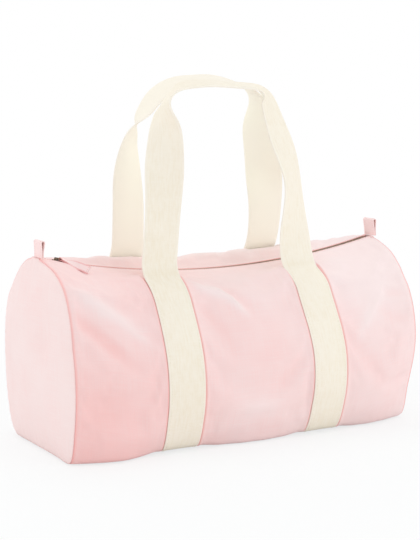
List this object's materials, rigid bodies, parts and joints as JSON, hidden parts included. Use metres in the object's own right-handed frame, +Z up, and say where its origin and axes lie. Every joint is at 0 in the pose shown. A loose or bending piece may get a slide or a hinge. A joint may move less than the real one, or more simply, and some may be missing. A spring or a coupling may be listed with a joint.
{
  "type": "barrel bag",
  "caption": "Soft barrel bag of canvas with round end panels, a curved zip along the top, webbing handles that swing down and a folded loop at each end of the zip.",
  "frame": {"origin": "middle of the bag's footprint, on the surface that it stands on", "axes": "+X along the bag from the zip's closed-slider end to its far end, -Y towards the front, +Z up"},
  "size_m": [0.528, 0.239, 0.4694],
  "materials": {
    "canvas": "plain-woven cotton canvas, pale pink, matt",
    "end_canvas": "the same canvas on the end panels",
    "binding": "folded cotton tape, matt",
    "webbing": "cream cotton webbing with a ribbed weave, matt",
    "loop_canvas": "folded canvas strip, warm pink inside",
    "zip_tape": "woven zip tape, matt",
    "zip_metal": "worn antique brass",
    "slider_metal": "dark antique brass, brushed on the edges",
    "puller_canvas": "folded and topstitched canvas"
  },
  "bodies": {
    "bag": {"body_panel": "canvas", "left_end_panel": "end_canvas", "right_end_panel": "end_canvas", "left_seam_binding": "binding", "right_seam_binding": "binding", "left_band": "webbing", "right_band": "webbing", "front_zip_tape": "zip_tape", "back_zip_tape": "zip_tape", "front_zip_teeth": "zip_metal", "back_zip_teeth": "zip_metal", "zip_top_stops": "zip_metal", "zip_bottom_stop": "zip_metal"},
    "front_handle": {"front_handle": "webbing"},
    "back_handle": {"back_handle": "webbing"},
    "left_loop": {"left_end_loop": "loop_canvas"},
    "right_loop": {"right_end_loop": "loop_canvas"},
    "slider": {"slider_top_plate": "slider_metal", "slider_bottom_plate": "slider_metal", "slider_crown": "slider_metal"},
    "ring": {"puller_ring": "slider_metal"},
    "puller": {"zip_puller": "puller_canvas"}
  },
  "joints": [
    {"name": "zip_travel", "type": "hinge", "parent": "bag", "child": "slider", "pos_m": [0, 0, 1.27167], "axis": [0, -1, 0], "range_deg": [0, 24.2]},
    {"name": "ring_swing", "type": "hinge", "parent": "slider", "child": "ring", "pos_m": [-0.22123, 0, 0.24041], "axis": [-0.791, -0.5878, 0.1697], "range_deg": [0, 110]},
    {"name": "puller_swing", "type": "hinge", "parent": "ring", "child": "puller", "pos_m": [-0.21721, -0.00526, 0.24098], "axis": [-0.791, -0.5878, 0.1697], "range_deg": [0, 30]},
    {"name": "front_handle_swing", "type": "hinge", "parent": "bag", "child": "front_handle", "pos_m": [0, -0.06305, 0.21732], "axis": [1, 0, 0], "range_deg": [0, 105]},
    {"name": "back_handle_swing", "type": "hinge", "parent": "bag", "child": "back_handle", "pos_m": [0, 0.06041, 0.22968], "axis": [-1, 0, 0], "range_deg": [0, 105]},
    {"name": "left_loop_swing", "type": "hinge", "parent": "bag", "child": "left_loop", "pos_m": [-0.25, 0, 0.2468], "axis": [0, -1, 0], "range_deg": [0, 90]},
    {"name": "right_loop_swing", "type": "hinge", "parent": "bag", "child": "right_loop", "pos_m": [0.25, 0, 0.2468], "axis": [0, 1, 0], "range_deg": [0, 90]}
  ]
}
